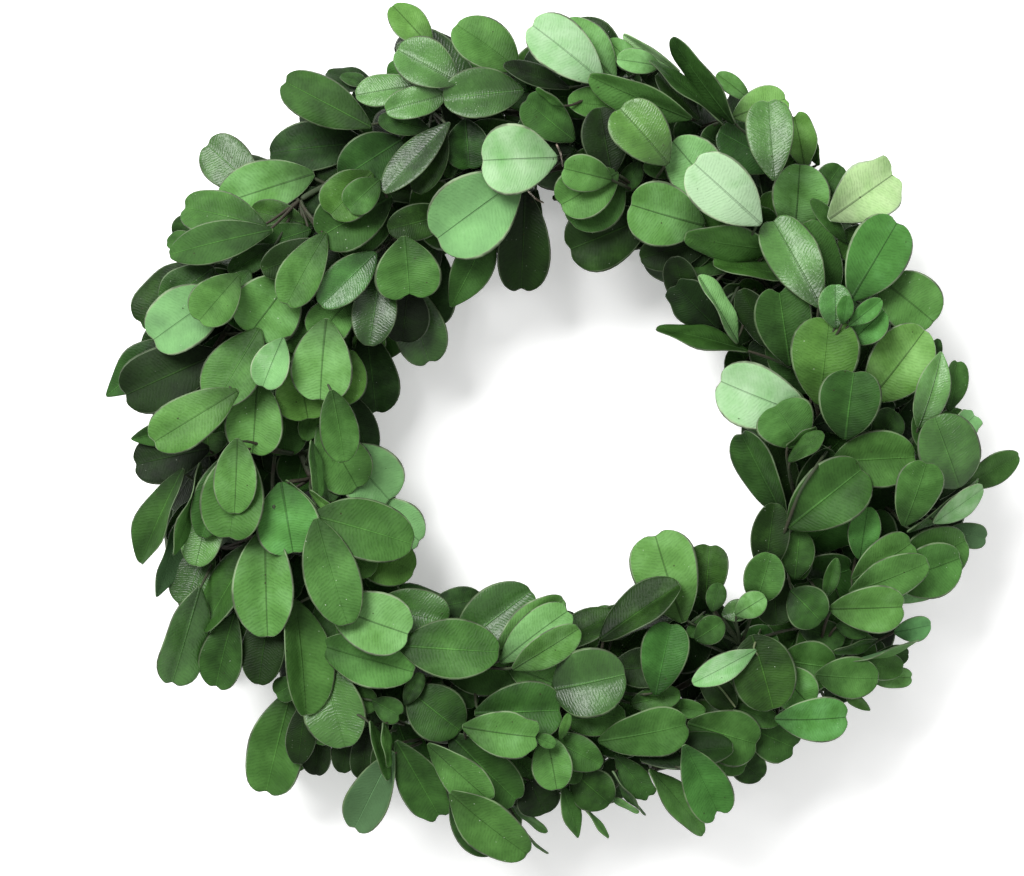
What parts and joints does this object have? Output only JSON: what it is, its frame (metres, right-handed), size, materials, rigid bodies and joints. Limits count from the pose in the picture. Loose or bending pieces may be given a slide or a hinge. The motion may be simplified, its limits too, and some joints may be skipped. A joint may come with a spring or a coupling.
{
  "type": "boxwood wreath",
  "caption": "Round wreath of leafy boxwood sprigs bound with wire on a hoop, open in the middle, to hang up or lie flat.",
  "frame": {"origin": "middle of the bounding box's base, on the surface that the wreath lies on", "axes": "+Z is the way the wreath faces, away from its hoop; +Y is its top as hung in the picture; +X is its right"},
  "size_m": [0.162, 0.1536, 0.0314],
  "materials": {
    "hoop_iron": "satin",
    "binding_wire": "satin",
    "boxwood": "satin"
  },
  "bodies": {
    "root": {"binding_wire": "binding_wire", "hoop": "hoop_iron", "sprig_front_inner_01": "boxwood", "sprig_front_inner_02": "boxwood", "sprig_front_inner_03": "boxwood", "sprig_front_inner_04": "boxwood", "sprig_front_inner_05": "boxwood", "sprig_front_inner_06": "boxwood", "sprig_front_inner_07": "boxwood", "sprig_front_inner_08": "boxwood", "sprig_front_inner_09": "boxwood", "sprig_front_inner_10": "boxwood", "sprig_front_inner_11": "boxwood", "sprig_front_inner_12": "boxwood", "sprig_front_outer_01": "boxwood", "sprig_front_outer_02": "boxwood", "sprig_front_outer_03": "boxwood", "sprig_front_outer_04": "boxwood", "sprig_front_outer_05": "boxwood", "sprig_front_outer_06": "boxwood", "sprig_front_outer_07": "boxwood", "sprig_front_outer_08": "boxwood", "sprig_front_outer_09": "boxwood", "sprig_front_outer_10": "boxwood", "sprig_front_outer_11": "boxwood", "sprig_front_outer_12": "boxwood", "sprig_inner_01": "boxwood", "sprig_inner_02": "boxwood", "sprig_inner_03": "boxwood", "sprig_inner_04": "boxwood", "sprig_inner_05": "boxwood", "sprig_inner_06": "boxwood", "sprig_inner_07": "boxwood", "sprig_inner_08": "boxwood", "sprig_inner_09": "boxwood", "sprig_inner_10": "boxwood", "sprig_inner_11": "boxwood", "sprig_inner_12": "boxwood", "sprig_outer_01": "boxwood", "sprig_outer_02": "boxwood", "sprig_outer_03": "boxwood", "sprig_outer_04": "boxwood", "sprig_outer_05": "boxwood", "sprig_outer_06": "boxwood", "sprig_outer_07": "boxwood", "sprig_outer_08": "boxwood", "sprig_outer_09": "boxwood", "sprig_outer_10": "boxwood", "sprig_outer_11": "boxwood", "sprig_outer_12": "boxwood"}
  },
  "joints": []
}
